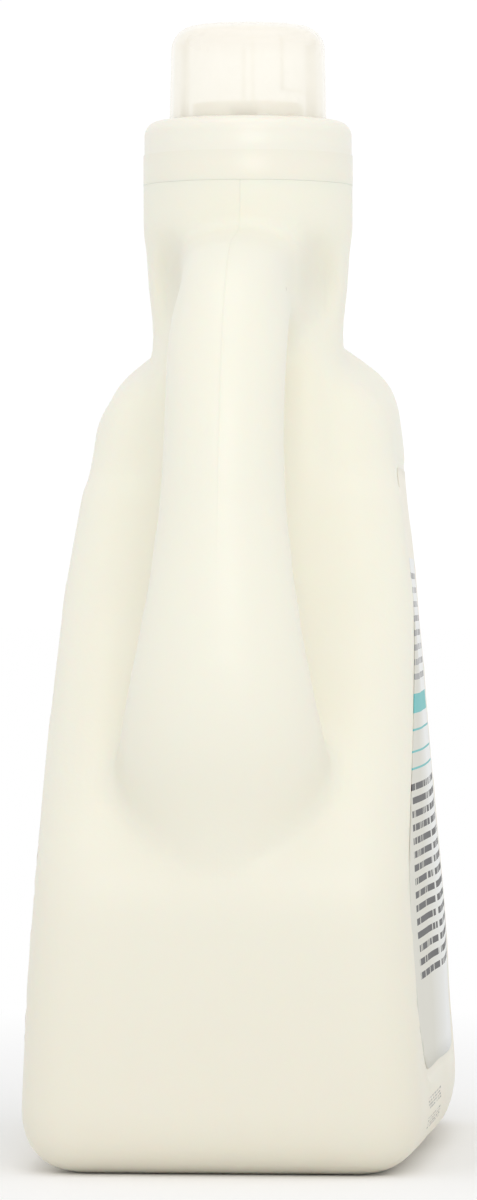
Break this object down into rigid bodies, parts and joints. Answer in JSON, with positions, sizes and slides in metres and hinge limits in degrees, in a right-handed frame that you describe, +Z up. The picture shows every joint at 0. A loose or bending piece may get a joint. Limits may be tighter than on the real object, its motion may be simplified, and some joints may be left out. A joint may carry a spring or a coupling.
{
  "type": "laundry detergent bottle",
  "caption": "Blow-moulded detergent bottle with a hollow side handle, pouring spout collar, labels and a screw-in measuring cap.",
  "frame": {"origin": "middle of the footprint, on the surface that the bottle stands on", "axes": "+Z up, handle on the +X side, front label faces -Y, back label faces +Y"},
  "size_m": [0.1741, 0.0958, 0.2695],
  "materials": {
    "bottle_plastic": "satin off-white polyethylene",
    "fitment_plastic": "satin off-white polyethylene",
    "cap_plastic": "milky translucent polypropylene",
    "seal_rubber": "soft",
    "front_label_film": "glossy film",
    "back_label_film": "glossy film"
  },
  "bodies": {
    "bottle": {"bottle": "bottle_plastic", "spout_fitment": "fitment_plastic", "front_label": "front_label_film", "back_label": "back_label_film"},
    "seal": {"seal_ring": "seal_rubber"},
    "cap": {"measuring_cap": "cap_plastic"}
  },
  "joints": [
    {"name": "cap_lift", "type": "slide", "parent": "bottle", "child": "seal", "axis": [0, 0, 1], "range_m": [0, 0.009]},
    {"name": "cap_turn", "type": "hinge", "parent": "seal", "child": "cap", "pos_m": [-0.0119, 0, 0.246], "axis": [0, 0, 1], "range_deg": [0, 270]}
  ],
  "couplings": [
    {"joint": "cap_lift", "follows": "cap_turn", "m_per_rad": 0.0019098}
  ]
}
